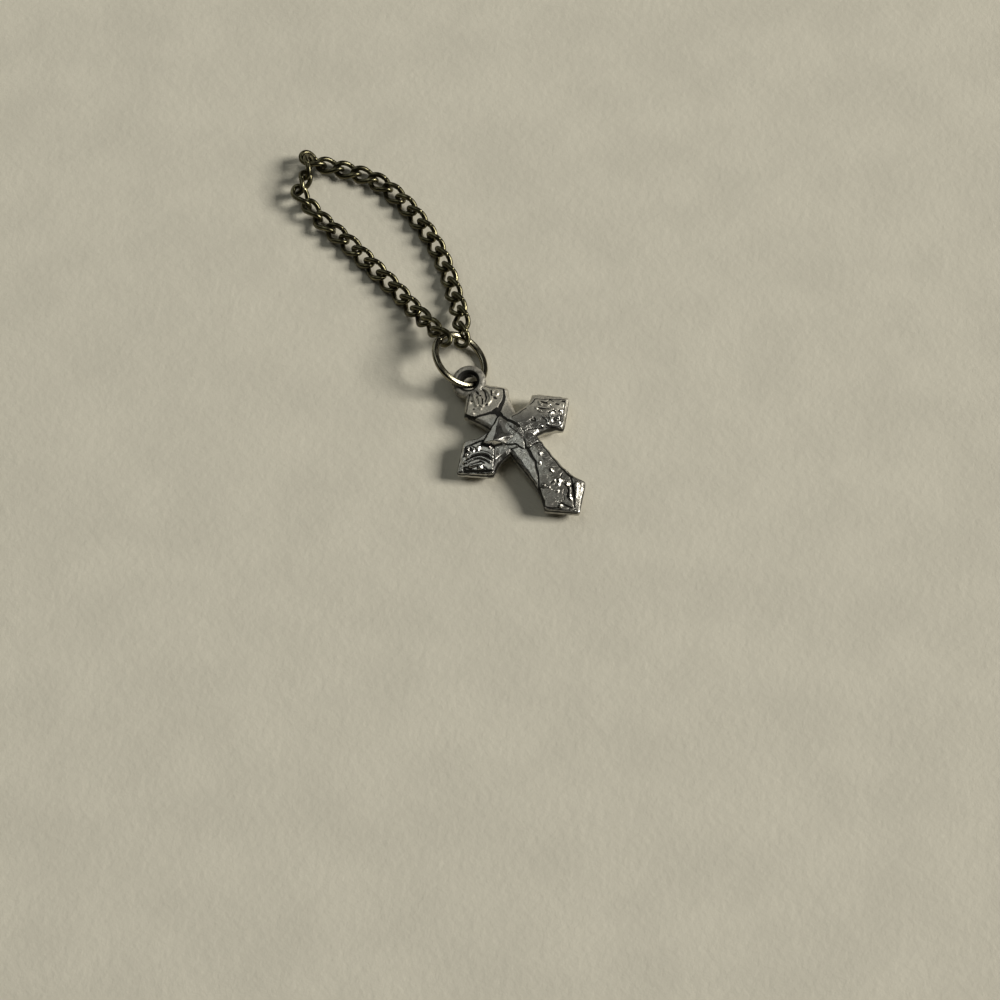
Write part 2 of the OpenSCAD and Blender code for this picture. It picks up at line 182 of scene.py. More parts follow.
class CharmCross(bpy.types.PropertyGroup):
    """Sizes of the cast cross."""
    top_len: length_prop("Top arm", "Crossing to the point of the top front", 7.5)
    side_len: length_prop("Side arms", "Crossing to the point of a side front", 7.0)
    foot_len: length_prop("Bottom arm", "Crossing to the point of the foot", 10.9)
    flare: length_prop("Flare", "Half width of a side arm at its flare", 2.8)
    waist: length_prop("Waist", "Half width where the arms meet", 1.75)
    bevel: length_prop("Bevel", "Width of the bevel round the points", .4)
    end_z: length_prop("End height", "Height of the fronts at the points", 1.9)
    mid_z: length_prop("Crossing height", "Height of the fronts at the middle", 3.05)
    neck_z: length_prop("Neck height", "Height of the outline at the necks", 2.35)
    kite_z: length_prop("Kite height", "Height of the ridge of the kite", 3.45)
    scroll_r: length_prop("Scroll line", "Radius of the raised scroll lines", .17)
    groove: length_prop("Engraving", "Depth of the engraved lines", .09)
    columns: count_prop("Columns", "Faces across a front", 96, 24)
    row_step: length_prop("Row step", "Distance between rows along an arm", .056)


class CharmEyelet(bpy.types.PropertyGroup):
    """Sizes of the eyelet cast on the top arm."""
    place: length_prop("Distance", "Eyelet from the crossing", 8.0)
    height: length_prop("Height", "Middle of the eyelet above the floor", 1.8)
    bar: length_prop("Bar", "Radius of its round bar", .49)
    radius: length_prop("Radius", "To the middle of its bar", 1.4)
    lean: angle_prop("Lean", "Lean to the left", 12)
    deep: length_prop("Deep wall", "Extra depth of the left and far wall", .9)


class CharmRing(bpy.types.PropertyGroup):
    """Sizes and place of the jump ring."""
    radius: length_prop("Radius", "To the middle of the wire", 3.14)
    wire: length_prop("Wire", "Thickness of the wire", .75)
    lean: angle_prop("Lean", "Lean from lying flat", 33.6)
    turn: angle_prop("Turn", "Direction of its low side, from +X", -25.7)
    seam_at: angle_prop("Seam", "Place of the open seam round the ring", 138)
    seam: angle_prop("Seam width", "Opening of the seam", 1.8)
    middle: place_prop("Middle", "Where the ring's middle lies, x and y", .79, 10.66)


class CharmChain(bpy.types.PropertyGroup):
    """Sizes of a curb link."""
    wire: length_prop("Wire", "Thickness of the link wire", .58)
    half_l: length_prop("Half length", "To the middle of the wire", 1.45)
    half_w: length_prop("Half width", "To the middle of the wire", .87)
    twist: angle_prop("Twist", "Twist of each end out of the link's plane", -54)
    steps: count_prop("Steps", "Sections round a link", 56, 16)
    sides: count_prop("Sides", "Faces round the wire", 14, 6)


class CharmColours(bpy.types.PropertyGroup):
    """Colours of the finishes."""
    silver: colour_prop("Silver", "Bare antique silver plate", (.60, .59, .55))
    # This colour also darkens the foot, as painted shade.
    tarnish_and_shade: colour_prop("Tarnish", "Silver where it has dulled", (.40, .38, .33))
    # Partly a dull film, partly a painted reflection of the pale floor on the upper right arms.
    film_and_reflection: colour_prop("Dusty", "Silver with a dull warm film", (.66, .62, .52))
    # This black is also used as painted shade in the eyelet's hole and on the lower bevels.
    patina_and_shade: colour_prop("Patina", "Black left in the recesses", (.012, .011, .008))
    ring: colour_prop("Ring", "Dark polished wire of the jump ring", (.27, .25, .18))
    chain: colour_prop("Chain", "Brown gunmetal of the chain", (.17, .155, .09))
    floor: colour_prop("Floor", "Pale floor", (.67, .635, .53))


class CharmStudio(bpy.types.PropertyGroup):
    """Camera and light."""
    azimuth: angle_prop("Azimuth", "Camera's direction, from +Y", -36.96)
    elevation: angle_prop("Elevation", "Camera above the horizon", 64.9)
    distance: length_prop("Distance", "Camera from the point it looks at", 230.2)
    angle: angle_prop("Field of view", "Across the square picture", 26)
    aim: place_prop("Aim", "Point on the floor that it looks at, x and y", -5.25, -4.59)
    key: power_prop("Key light", "Power of the key light", 94)
    card: power_prop("Card", "Power of the large card behind", .34)
    soft: power_prop("Soft light", "Power of the softbox overhead", .35)
    world: FloatProperty(name="Room light", description="Strength of the even light", default=.01)


GROUPS = {"charm_cross": CharmCross, "charm_eyelet": CharmEyelet, "charm_ring": CharmRing,
          "charm_chain": CharmChain, "charm_colours": CharmColours, "charm_studio": CharmStudio}


def in_mm(length):
    return round(length / MM, 5)


# Form of the cross, in mm

GIRTH_Z = 1.6               # height at which the side wall turns into the bevel at a flare
FOOT_GIRTH_Z = 1.75         # the same at the bottom arm, whose bevel is shallower
BACK_Z = 1.15               # height at which the wall turns into the slope round the back
BACK_IN = .9                # width of that slope
BACK_END = BACK_Z - .1      # height that the back has risen to at a point
BACK_TIP = BACK_IN * 1.4    # length of that slope at a point
CROWN = .12                 # how far a front is raised along its middle
TIP_HALF = .12              # half width left at each point
TIP_RISE = .03              # height of the front edge of a point's end above the turn of its wall
TIP_BEVEL = 1.35            # length of the bevel at a point, as a share of its width elsewhere
APEX = .08                  # how far beyond its cut end the sides of a point would meet
RIM = .12                   # least width of the bevel beside a front
NOSE = .35                  # radius to which a point is rounded
NOSE_TURN = math.radians(82)    # how far that rounding runs before its narrow end face
BREAK = .75                 # share of a bevel's width at which it turns steeper
FALL = .4                   # share of its height that it has fallen by there
WORN = .2                   # width over which the outline's edge is rounded
WORN_AT = .7                # where the tops of beads are worn flat, as a share of their radius
FLAT = (-.276, .572)        # rise per mm along x and y of those flats
KITE_RIM = 2.7              # level of the rim of the kite
OUTSIDE = -1.0              # height given to places beside the cross


def smooth(x):
    x = np.clip(x, 0, 1)
    return x * x * (3 - 2 * x)


def ramp(x, start, width):
    """0 up to start, 1 from a width beyond it, smooth between them."""
    return smooth((x - start) / width)


class Arm:
    """One arm of the cross: outline and front, in mm along (s) and to the left of (v) its run."""

    def __init__(self, sizes, length, share, half, late, turn, low, front, lines, cuts,
                 beads, scrolls=(), ridges=()):
        self.length, self.half, self.late, self.turn = length, half, late, math.radians(turn)
        self.low, self.front, self.lines, self.cuts = low, np.array(front), lines, cuts
        self.scrolls, self.beads, self.ridges = scrolls, beads, ridges
        self.waist, self.mid_z, self.end_z = (in_mm(getattr(sizes, n))
                                              for n in ("waist", "mid_z", "end_z"))
        self.neck_z, self.thread = in_mm(sizes.neck_z), in_mm(sizes.scroll_r)
        self.slope = (self.mid_z - self.end_z) / length
        self.flare_at = length * share
        self.tip_at = length + in_mm(sizes.bevel) * TIP_BEVEL
        apex = self.tip_at + APEX
        self.taper = half / (apex - self.flare_at)
        wide = math.hypot(1, self.taper)
        self.nose_at = apex - NOSE * wide / self.taper
        self.nose_from = self.nose_at + NOSE * self.taper / wide
        self.end_at = self.nose_at + NOSE * math.sin(NOSE_TURN)

    def local(self, x, y):
        c, s = math.cos(self.turn), math.sin(self.turn)
        return x * c + y * s, y * c - x * s

    def world(self, s, v):
        c, sn = math.cos(self.turn), math.sin(self.turn)
        return s * c - v * sn, s * sn + v * c

    def girth(self, s):
        """Half width, with the corner at the flare and the point rounded off."""
        soft = .5
        widen = np.clip((s - self.waist) / (self.flare_at - self.waist), 0, 1) ** self.late
        out = self.waist + (self.half - self.waist) * widen
        inward = self.half - self.taper * (s - self.flare_at)
        near = np.clip(soft - abs(out - inward), 0, None) / soft
        sides = np.minimum(out, inward) - near ** 2 * soft / 4
        nose = np.sqrt(np.maximum(0, NOSE ** 2 - (s - self.nose_at) ** 2))
        return np.where(s > self.nose_from, nose, sides)

    def lean(self, s):
        """Distance from the outline for each mm of v."""
        near = .01
        return 1 / np.hypot(1, (self.girth(s + near) - self.girth(s - near)) / (2 * near))

    def outline_z(self, s):
        far = np.clip((s - self.waist) / (self.flare_at - self.waist), 0, 1)
        return self.neck_z + (self.low - self.neck_z) * far

    def front_z(self, s):
        past = np.clip((s - self.length) / (self.tip_at - self.length), 0, 1)
        z = self.mid_z - self.slope * np.minimum(s, self.length)
        return z + (self.low + TIP_RISE - z) * past

    def edge(self, s, side):
        v = self.half * np.interp(s / self.length, self.front[:, 0], self.front[:, side])
        most = np.maximum(TIP_HALF / 4, self.girth(s) - RIM)
        return np.clip(v, -most, most)

    def inside(self, s, v):
        slack = 1e-6
        return (s >= -slack) & (s <= self.end_at + slack) & (abs(v) <= self.girth(s) + slack)

    def height(self, s, v):
        """Height of the front and its bevels, with worn edges but no relief."""
        left, right = self.edge(s, 1), self.edge(s, 2)
        middle, half = (left + right) / 2, np.maximum(.02, (left - right) / 2)
        z, g, low, lean = self.front_z(s), self.girth(s), self.outline_z(s), self.lean(s)
        off = abs(v - middle)
        crowned = z + np.minimum(CROWN, half / 6) * (1 - off / half)
        room = np.maximum(np.where(v > middle, g - middle, g + middle) - half, 1e-3)
        past = np.clip(off - half, 0, room)
        bevelled = z - (z - low) * np.interp(past / room, (0, BREAK, 1), (0, FALL, 1))
        brink = np.clip(1 - (g - abs(v)) * lean / WORN, 0, 1)
        return np.where(off <= half, crowned, bevelled) - WORN / 2 * brink ** 2

    def lift(self, s, v):
        """How far scrolls, beads and ridges stand up from the front."""
        up = np.zeros_like(s)
        for row in self.scrolls:
            up = np.maximum(up, scroll_lift(s, v, *row, self.thread))
        s, v = uneven(s, v)
        c, sn = math.cos(self.turn), math.sin(self.turn)
        ds, dv = FLAT[0] * c + FLAT[1] * sn + self.slope, FLAT[1] * c - FLAT[0] * sn
        for s0, v0, r0, s1, v1, r1 in (*(bead * 2 for bead in self.beads), *self.ridges):
            d, share = line_distance(s, v, (s0, v0), (s1, v1))
            r = r0 + (r1 - r0) * share
            flat = (WORN_AT * r + ds * (s - s0 - share * (s1 - s0))
                    + dv * (v - v0 - share * (v1 - v0)))
            up = np.maximum(up, np.minimum(flat, dome(d, r)))
        return up

    def engraved(self, s, v):
        """Strength of the engraved lines, from 0 to 1."""
        cut = np.zeros_like(s)
        for side, start, end, w0, w1, deep in self.lines:
            shares = [start] + [p for p in self.front[:, 0] if start < p < end] + [end]
            runs = np.array(shares) * self.length
            ways = self.edge(runs, side)
            width_at = np.interp(shares, (start, end), (w0, w1))
            for i in range(len(shares) - 1):
                cut = np.maximum(cut, deep * groove(s, v, (runs[i], ways[i]),
                                                    (runs[i + 1], ways[i + 1]),
                                                    width_at[i], width_at[i + 1]))
        return np.maximum(cut, cut_strength(s, v, self.cuts))


def line_distance(x, y, start, end):
    """Distance from a straight line, and the share along it."""
    run = np.subtract(end, start)
    share = np.clip(((x - start[0]) * run[0] + (y - start[1]) * run[1])
                    / max(run @ run, 1e-9), 0, 1)
    return np.hypot(x - start[0] - share * run[0], y - start[1] - share * run[1]), share


def groove(x, y, start, end, w0, w1):
    d, share = line_distance(x, y, start, end)
    soft = .07              # how far a line fades beyond its half width
    return smooth(1 - (d - (w0 + (w1 - w0) * share)) / soft)


def cut_strength(x, y, cuts):
    """Strength of cuts that each join a run of points, narrowing to both ends."""
    cut = np.zeros_like(x)
    for half, deep, *run in cuts:
        spots = list(zip(run[::2], run[1::2]))
        spots = spots * 2 if len(spots) == 1 else spots
        last = len(spots) - 1
        width = [half * (.5 if last > 1 and i in (0, last) else 1) for i in range(last + 1)]
        for i in range(last):
            cut = np.maximum(cut, deep * groove(x, y, spots[i], spots[i + 1],
                                                width[i], width[i + 1]))
    return cut


def uneven(s, v):
    """Places moved at a small scale, so that beads and scrolls come out worn and irregular."""
    most = .035
    return (s + most * np.sin(11.3 * v + 2.1 * np.sin(7.7 * s)),
            v + most * np.sin(12.1 * s + 1.7 * np.sin(8.9 * v)))


def wander(x, y):
    """Places moved a little, so that what is drawn through them runs as if cut by hand."""
    most = .03
    return (x + most * np.sin(4.7 * y + 1.3 * np.sin(2.9 * x)),
            y + most * np.sin(5.3 * x + 1.1 * np.sin(3.7 * y)))


def dome(d, r):
    return np.sqrt(np.maximum(0, r * r - d * d))


def scroll_lift(s, v, cs, cv, r, first, sweep, thread):
    angle = np.degrees(np.arctan2(v - cv, s - cs)) - first
    ring = np.where(angle % 360 <= sweep, abs(np.hypot(s - cs, v - cv) - r), thread)
    up = dome(ring, thread)
    for a in (math.radians(first), math.radians(first + sweep)):
        up = np.maximum(up, dome(np.hypot(s - cs - r * math.cos(a), v - cv - r * math.sin(a)),
                                 thread * 1.25))
    return up


def roof_planes(points):
    """Planes z = a x + b y + c that close the hull of some points from above."""
    pts = [np.array(p, float) for p in points]
    planes = []
    for i in range(len(pts)):
        for j in range(i + 1, len(pts)):
            for k in range(j + 1, len(pts)):
                n = np.cross(pts[j] - pts[i], pts[k] - pts[i])
                if abs(n[2]) < 1e-6:
                    continue
                a, b = -n[0] / n[2], -n[1] / n[2]
                c = pts[i][2] - a * pts[i][0] - b * pts[i][1]
                if all(z <= a * x + b * y + c + 1e-6 for x, y, z in pts):
                    planes.append((a, b, c))
    return planes


class CrossForm:
    """The whole front of the cross as heights over x and y, in mm."""

    def __init__(self, sizes):
        flare = in_mm(sizes.flare)
        self.waist, self.depth = in_mm(sizes.waist), in_mm(sizes.groove)
        side = in_mm(sizes.side_len)
        self.arms = (
            Arm(sizes, in_mm(sizes.top_len), .66, flare + .2, 1.6, 90, GIRTH_Z, TOP_FRONT,
                TOP_LINES, TOP_CUTS, TOP_BEADS, TOP_SCROLLS),
            Arm(sizes, side, .67, flare, 2.4, 0, GIRTH_Z, RIGHT_FRONT,
                RIGHT_LINES, RIGHT_CUTS, RIGHT_BEADS, RIGHT_SCROLLS),
            Arm(sizes, side, .66, flare - .1, 2.6, 180, GIRTH_Z, LEFT_FRONT,
                LEFT_LINES, LEFT_CUTS, LEFT_BEADS, LEFT_SCROLLS),
            Arm(sizes, in_mm(sizes.foot_len), .83, flare, 4.5, 270, FOOT_GIRTH_Z, FOOT_FRONT,
                FOOT_LINES, FOOT_CUTS, FOOT_BEADS, ridges=FOOT_RIDGES))
        rise = in_mm(sizes.kite_z) - KITE_RIM
        self.roofs = [(rim, roof_planes([(x, y, KITE_RIM) for x, y in rim]
                                        + [(x, y, KITE_RIM + share * rise) for x, y, share in top]))
                      for rim, top in ((KITE_UPPER, KITE_UPPER_TOP), (KITE_LOWER, KITE_LOWER_TOP))]

    def kite(self, x, y):
        z = np.full_like(x, OUTSIDE)
        for corners, planes in self.roofs:
            within = np.ones(x.shape, bool)
            for (x0, y0), (x1, y1) in zip(corners, corners[1:] + corners[:1]):
                within &= (x1 - x0) * (y - y0) - (y1 - y0) * (x - x0) >= 0
            roof = np.min([a * x + b * y + c for a, b, c in planes], axis=0)
            z = np.where(within, np.maximum(z, roof), z)
        return z

    def arm_height(self, x, y):
        """Height of the arms alone, without relief, or OUTSIDE."""
        z = np.full_like(x, OUTSIDE)
        for arm in self.arms:
            s, v = arm.local(x, y)
            z = np.where(arm.inside(s, v), np.maximum(z, arm.height(s, v)), z)
        return z

    def engraved(self, x, y):
        x, y = wander(x, y)
        cut = cut_strength(x, y, KITE_CUTS)
        for arm in self.arms:
            s, v = arm.local(x, y)
            near = s > arm.waist * .5
            cut = np.where(near, np.maximum(cut, arm.engraved(s, v)), cut)
        return cut

    def cast(self, x, y):
        """Height of the front with its relief, or OUTSIDE."""
        moved_x, moved_y = wander(x, y)
        z = np.full_like(x, OUTSIDE)
        for arm in self.arms:
            s, v = arm.local(moved_x, moved_y)
            own = arm.height(s, v) + arm.lift(s, v)
            z = np.where(arm.inside(*arm.local(x, y)), np.maximum(z, own), z)
        return np.maximum(z, np.where(z > OUTSIDE, self.kite(moved_x, moved_y), OUTSIDE))

    def height(self, x, y):
        """Height of the finished front, its creases softened, with the engraving."""
        reach, own = .045, self.cast(x, y)
        total, weight = own * 2, 2
        for dx, dy in ((reach, 0), (-reach, 0), (0, reach), (0, -reach)):
            beside = self.cast(x + dx, y + dy)
            total, weight = total + np.where(beside > OUTSIDE, beside, own), weight + 1
        return np.where(own > OUTSIDE, total / weight - self.depth * self.engraved(x, y), OUTSIDE)

    def hollow(self, x, y, z):
        """How far a place lies below the mean of the places round it."""
        reach, ways = .16, 8
        around = np.zeros_like(z)
        for k in range(ways):
            a = 2 * math.pi * (k + .5) / ways
            h = self.cast(x + reach * math.cos(a), y + reach * math.sin(a))
            around += np.where(h > OUTSIDE, h, z)
        return around / ways - z


# Mesh helpers

def piece_from(name, points, faces):
    mesh = bpy.data.meshes.new(name)
    mesh.from_pydata([tuple(p) for p in points], [], [tuple(f) for f in faces])
    mesh.validate()
    obj = bpy.data.objects.new(name, mesh)
    bpy.context.scene.collection.objects.link(obj)
    return obj


def weld(points, faces):
    """Joins points that coincide, and drops what this leaves of faces without area."""
    places, index = np.unique(np.round(points, 7), axis=0, return_inverse=True)
    index = index.reshape(-1)
    out = []
    for face in faces:
        ring = [index[i] for i in face]
        ring = [a for a, b in zip(ring, ring[1:] + ring[:1]) if a != b]
        if len(set(ring)) > 2:
            out.append(ring)
    return places, out


def outward(obj):
    bm = bmesh.new()
    bm.from_mesh(obj.data)
    bmesh.ops.recalc_face_normals(bm, faces=bm.faces)
    bm.to_mesh(obj.data)
    bm.free()


def combine(target, tool, operation):
    """Cuts with or adds a closed tool, which is used up."""
    mod = target.modifiers.new("work", "BOOLEAN")
    mod.operation, mod.solver, mod.object = operation, "MANIFOLD", tool
    bpy.context.view_layer.update()
    done = bpy.data.meshes.new_from_object(target.evaluated_get(
        bpy.context.evaluated_depsgraph_get()))
    target.modifiers.remove(mod)
    if len(done.polygons) in (0, len(target.data.polygons)):
        raise RuntimeError(f"{tool.name} makes no change to {target.name}")
    old, target.data = target.data, done
    bpy.data.meshes.remove(old)
    bpy.data.objects.remove(tool)


def grid_faces(rows, cols, start=0, wrap=False):
    """Quads between rows of points, the columns closed if wrap is set."""
    last = cols if wrap else cols - 1
    return [(start + i * cols + j, start + i * cols + (j + 1) % cols,
             start + (i + 1) * cols + (j + 1) % cols, start + (i + 1) * cols + j)
            for i in range(rows - 1) for j in range(last)]


def tube_faces(rows, cols, closed):
    """Faces of a bar through rings of points, joined end to end or with a face at both ends."""
    faces, last = grid_faces(rows, cols, wrap=True), (rows - 1) * cols
    if closed:
        return faces + [(last + j, last + (j + 1) % cols, (j + 1) % cols, j) for j in range(cols)]
    return faces + [range(cols), range(last, last + cols)]


def finish_piece(obj, material, node, crease=35):
    obj.data.name = obj.name
    obj.data.materials.clear()
    obj.data.materials.append(material)
    obj.data.shade_smooth()
    obj.data.set_sharp_from_angle(angle=math.radians(crease))
    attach(obj, BODY)
    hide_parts(node)


def point_values(obj, name, values):
    layer = obj.data.attributes.new(name, "FLOAT", "POINT")
    layer.data.foreach_set("value", np.asarray(values, np.float32))


# Cross

def arm_points(form, arm, across, back_cols, step):
    """Rings of points from the waist to the tip."""
    stops, nose_rows = (arm.waist, arm.flare_at, arm.nose_from), 9
    turn = math.asin((arm.nose_from - arm.nose_at) / NOSE)
    rows = np.concatenate([np.linspace(a, b, max(2, int(round((b - a) / step)) + 1))[:-1]
                           for a, b in zip(stops, stops[1:])]
                          + [arm.nose_at + NOSE * np.sin(np.linspace(turn, NOSE_TURN, nose_rows))])
    girth = arm.girth(rows)[:, None]
    s = np.repeat(rows[:, None], len(across), axis=1)
    v = across[None, :] * girth
    x, y = arm.world(s, v)
    z = form.height(x, y)
    front = np.stack([x, y, z], -1)
    back_tip = arm.tip_at - BACK_TIP
    rise = BACK_END * np.clip((rows - back_tip) / (arm.tip_at - back_tip), 0, 1)
    flat = np.maximum(TIP_HALF / 2, np.minimum(girth[:, 0] - BACK_IN, back_tip - rows))
    left_mid, right_mid = (z[:, 0] + BACK_Z) / 2, (z[:, -1] + BACK_Z) / 2

    def wall(side, height):
        wx, wy = arm.world(rows, side * girth[:, 0])
        return np.stack([wx, wy, height + 0 * rows], -1)[:, None]

    spread = np.linspace(-1, 1, back_cols + 1)[None, :] * flat[:, None]
    bx, by = arm.world(np.repeat(rows[:, None], back_cols + 1, axis=1), spread)
    back = np.stack([bx, by, np.repeat(rise[:, None], back_cols + 1, axis=1)], -1)
    return np.concatenate([front, wall(-1, right_mid), wall(-1, BACK_Z), back,
                           wall(1, BACK_Z), wall(1, left_mid)], axis=1)


def cross_body(form, columns, step):
    """The cross without its eyelet, closed, in mm."""
    back_cols = 12
    across = np.linspace(1, -1, columns + 1)
    points, faces, start = [], [], 0
    for arm in form.arms:
        rings = arm_points(form, arm, across, back_cols, step)
        rows, cols = rings.shape[:2]
        points.append(rings.reshape(-1, 3))
        faces += grid_faces(rows, cols, start, wrap=True)
        faces.append(range(start + (rows - 1) * cols, start + rows * cols))
        start += rows * cols
    x, y = np.meshgrid(across * form.waist, across * form.waist)
    z = form.height(x, y)
    points.append(np.stack([x, y, z], -1).reshape(-1, 3))
    faces += grid_faces(len(across), len(across), start)
    start += len(across) ** 2
    flat = form.waist - BACK_IN
    lines = np.concatenate([[-form.waist], np.linspace(-flat, flat, back_cols + 1), [form.waist]])
    x, y = np.meshgrid(lines, lines)
    z = BACK_Z * np.clip((np.minimum(abs(x), abs(y)) - flat) / BACK_IN, 0, 1)
    points.append(np.stack([x, y, z], -1).reshape(-1, 3))
    faces += grid_faces(len(lines), len(lines), start)
    return weld(np.concatenate(points), faces)


def turned_bar(profile, sweep, steps):
    """Closed solid of a profile (r, z) turned about Z by an angle, from +X."""
    full = sweep >= 2 * math.pi - 1e-6
    angles = np.linspace(0, sweep, steps + 1)[:steps if full else None]
    rings = [[(r * math.cos(a), r * math.sin(a), z) for r, z in profile] for a in angles]
    return np.array(rings).reshape(-1, 3), tube_faces(len(angles), len(profile), full)


def circle_points(radius, sides, cx=0.0, cy=0.0, start=0.0, sweep=2 * math.pi):
    return [(cx + radius * math.cos(start + sweep * k / sides),
             cy + radius * math.sin(start + sweep * k / sides)) for k in range(sides)]


def eyelet_parts(eyelet):
    """Hole cutter, round bar and deeper left wall, in mm, in place."""
    r, bar, deep = in_mm(eyelet.radius), in_mm(eyelet.bar), in_mm(eyelet.deep)
    place = (Matrix.Translation((0, in_mm(eyelet.place), in_mm(eyelet.height)))
             @ Matrix.Rotation(-eyelet.lean, 4, "Y"))
    cut_half, steps = 4, 96
    disc = circle_points(r, steps)
    hole = [(x, y, z) for z in (-cut_half, cut_half) for x, y in disc], tube_faces(2, steps, False)
    bar_sides, half_round, wall_steps, inset = 28, 14, 66, .02
    ring = turned_bar(circle_points(bar, bar_sides, r, 0), 2 * math.pi, steps)
    thin, deep_start, deep_from, deep_sweep = bar - inset, .2, math.radians(40), math.radians(235)
    wall = (circle_points(thin, half_round, r, -deep_start, 0, math.pi) + [(r - thin, -deep_start)]
            + circle_points(thin, half_round, r, -deep, math.pi, math.pi) + [(r + thin, -deep)])
    deeper = turned_bar(wall, deep_sweep, wall_steps)
    out = []
    for name, (points, faces), turn in (("hole", hole, 0), ("bar", ring, 0),
                                        ("wall", deeper, deep_from)):
        obj = piece_from(name, points, faces)
        obj.data.transform(place @ Matrix.Rotation(turn, 4, "Z"))
        outward(obj)
        out.append(obj)
    return out


FRONT_NEAR = .06            # how near the height of the front a point counts as on it
CREVICE = .22               # how far up the walls of the relief black has stayed


def cross_masks(form, eyelet, obj):
    """Point values for the finish: black with painted shade, rubbed, matte, smooth kite, and dull
    metal with painted shade.

    The ramps are in mm: matte towards the upper right, with a painted reflection of the pale floor
    there; darker towards the foot as painted shade, and dull round the eyelet;
    black in cuts and hollows, and as painted shade in the eyelet's hole; rubbed on what stands up."""
    co = np.zeros(len(obj.data.vertices) * 3)
    obj.data.vertices.foreach_get("co", co)
    x, y, z = co.reshape(-1, 3).T
    top = form.height(x, y)
    on_front = abs(z - top) < FRONT_NEAR
    hollow = form.hollow(x, y, np.where(on_front, form.cast(x, y), z))
    # Matte towards the upper right; its lighter colour there is a painted reflection of the pale
    # floor.
    matte = ramp(y + .55 * x, .3, 4)
    black = np.maximum(ramp(form.engraved(x, y), .08, .4),
                       ramp(hollow, .012, .05) * (1 - .6 * matte))
    above = z - top
    beside = (~on_front) & (top > OUTSIDE) & (above > 0) & (above < CREVICE)
    patina_and_shade = np.where(beside, 1 - above / CREVICE, np.where(on_front, black, 0))
    rubbed = np.where(on_front, ramp(-hollow, .005, .05), 0)
    # Painted shade: the inside of the eyelet's hole is made black.
    turned = x * math.cos(eyelet.lean) + (z - in_mm(eyelet.height)) * math.sin(eyelet.lean)
    from_axis = np.hypot(turned, y - in_mm(eyelet.place))
    hole, rim = in_mm(eyelet.radius) - .06, in_mm(eyelet.radius + eyelet.bar) + .2
    patina_and_shade = np.maximum(patina_and_shade, ramp(hole - from_axis, 0, .12))
    kite = np.where(on_front, ramp(form.kite(x, y) - form.arm_height(x, y), 0, .1), 0)
    # Darker towards the foot as painted shade; round the eyelet a dull finish.
    dulled_and_shaded = np.maximum(.8 * ramp(-y, 3.2, 3), .9 * ramp(rim - from_axis, 0, .2))
    return patina_and_shade, rubbed, matte, kite, dulled_and_shaded


class CHARM_OT_cross(bpy.types.Operator):
    """Cast cross with its relief, engraving and eyelet"""
    bl_idname = "charm.cross"
    bl_label = "Cross"

    def execute(self, context):
        scene = context.scene
        sizes = scene.charm_cross
        form = CrossForm(sizes)
        points, faces = cross_body(form, sizes.columns, in_mm(sizes.row_step))
        wave, size = .012, 1.6        # slow unevenness of the cast, in mm
        for p in points:
            if p[2] > BACK_Z:
                p[2] += wave * noise.noise(Vector(p) / size)
        obj = piece_from("cross_cast", points, faces)
        outward(obj)
        hole, bar, wall = eyelet_parts(scene.charm_eyelet)
        combine(obj, hole, "DIFFERENCE")
        combine(obj, bar, "UNION")
        combine(obj, wall, "UNION")
        masks = cross_masks(form, scene.charm_eyelet, obj)
        for name, values in zip(("patina_and_shade", "rubbed", "matte", "kite", "dulled_and_shaded"), masks):
            point_values(obj, name, values)
        obj.data.transform(Matrix.Scale(MM, 4))
        finish_piece(obj, silver_finish(scene.charm_colours), "cross",
                     crease=44)
        return {"FINISHED"}


# Jump ring and chain

class CHARM_OT_ring(bpy.types.Operator):
    """Jump ring of round wire, open at its seam"""
    bl_idname = "charm.ring"
    bl_label = "Jump ring"

    def execute(self, context):
        ring = context.scene.charm_ring
        r, wire = in_mm(ring.radius), in_mm(ring.wire) / 2
        steps, sides, end_rounding = 192, 28, .05
        sweep = 2 * math.pi - ring.seam
        ease = end_rounding / r
        angles = np.concatenate([[0, ease], np.linspace(2 * ease, sweep - 2 * ease, steps),
                                 [sweep - ease, sweep]])
        rings = []
        for k, a in enumerate(angles):
            thick = wire - (end_rounding if k in (0, len(angles) - 1) else 0)
            rings.append([(d * math.cos(a), d * math.sin(a), z)
                          for d, z in circle_points(thick, sides, r, 0)])
        obj = piece_from("ring_wire", np.array(rings).reshape(-1, 3),
                         tube_faces(len(angles), sides, False))
        mid_z = wire + r * math.sin(ring.lean)
        obj.data.transform(
            Matrix.Scale(MM, 4)
            @ Matrix.Translation((in_mm(ring.middle[0]), in_mm(ring.middle[1]), mid_z))
            @ Matrix.Rotation(ring.turn, 4, "Z") @ Matrix.Rotation(ring.lean, 4, "Y")
            @ Matrix.Rotation(ring.seam_at, 4, "Z"))
        self.wear(obj, len(angles), sides, wire)
        outward(obj)
        low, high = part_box("jump_ring")
        slack = .05 * MM
        corners = [obj.matrix_world @ v.co for v in obj.data.vertices]
        for axis in range(3):
            ends = min(c[axis] for c in corners), max(c[axis] for c in corners)
            if abs(ends[0] - low[axis]) > slack or abs(ends[1] - high[axis]) > slack:
                raise RuntimeError("the jump ring isn't where the model has it")
        finish_piece(obj, ring_finish(context.scene.charm_colours), "jump_ring")
        return {"FINISHED"}

    def wear(self, obj, rows, sides, wire):
        """Wears a narrow flat along the upper side of the wire."""
        facing, depth = Vector((-FLAT[0], -FLAT[1], 1)), .88
        co = np.array([v.co for v in obj.data.vertices]).reshape(rows, sides, 3)
        middles = co.mean(1)
        ways = np.gradient(middles, axis=0)
        for ring, middle, way in zip(co, middles, ways):
            way = Vector(way).normalized()
            up = np.array((facing - way * facing.dot(way)).normalized())
            over = np.maximum(0, (ring - middle) @ up - depth * wire * MM)
            ring -= over[:, None] * up
        obj.data.vertices.foreach_set("co", co.ravel())


